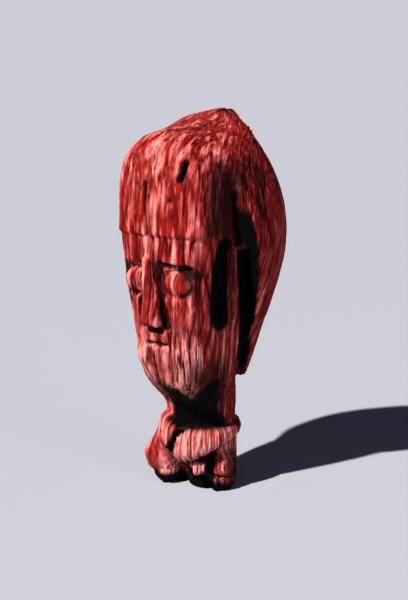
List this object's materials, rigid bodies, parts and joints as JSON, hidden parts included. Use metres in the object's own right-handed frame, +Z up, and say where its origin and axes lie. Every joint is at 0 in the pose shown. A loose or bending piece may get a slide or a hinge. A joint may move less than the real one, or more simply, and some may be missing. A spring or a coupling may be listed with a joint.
{
  "type": "carved wooden deity head",
  "caption": "Weathered oak head of a god with a long schematic face, slanting cap, mass of hair and thick neck ring, standing on its own broken foot.",
  "frame": {"origin": "on the ground under the neck's axis, at the flat underside of the foot", "axes": "+Z up, the face towards -Y, the head's own left towards +X"},
  "size_m": [0.1084, 0.1181, 0.26],
  "materials": {
    "weathered_oak": "old oak with the soft grain weathered out, reddish brown, dry and matt"
  },
  "bodies": {
    "root": {"head": "weathered_oak"}
  },
  "joints": []
}
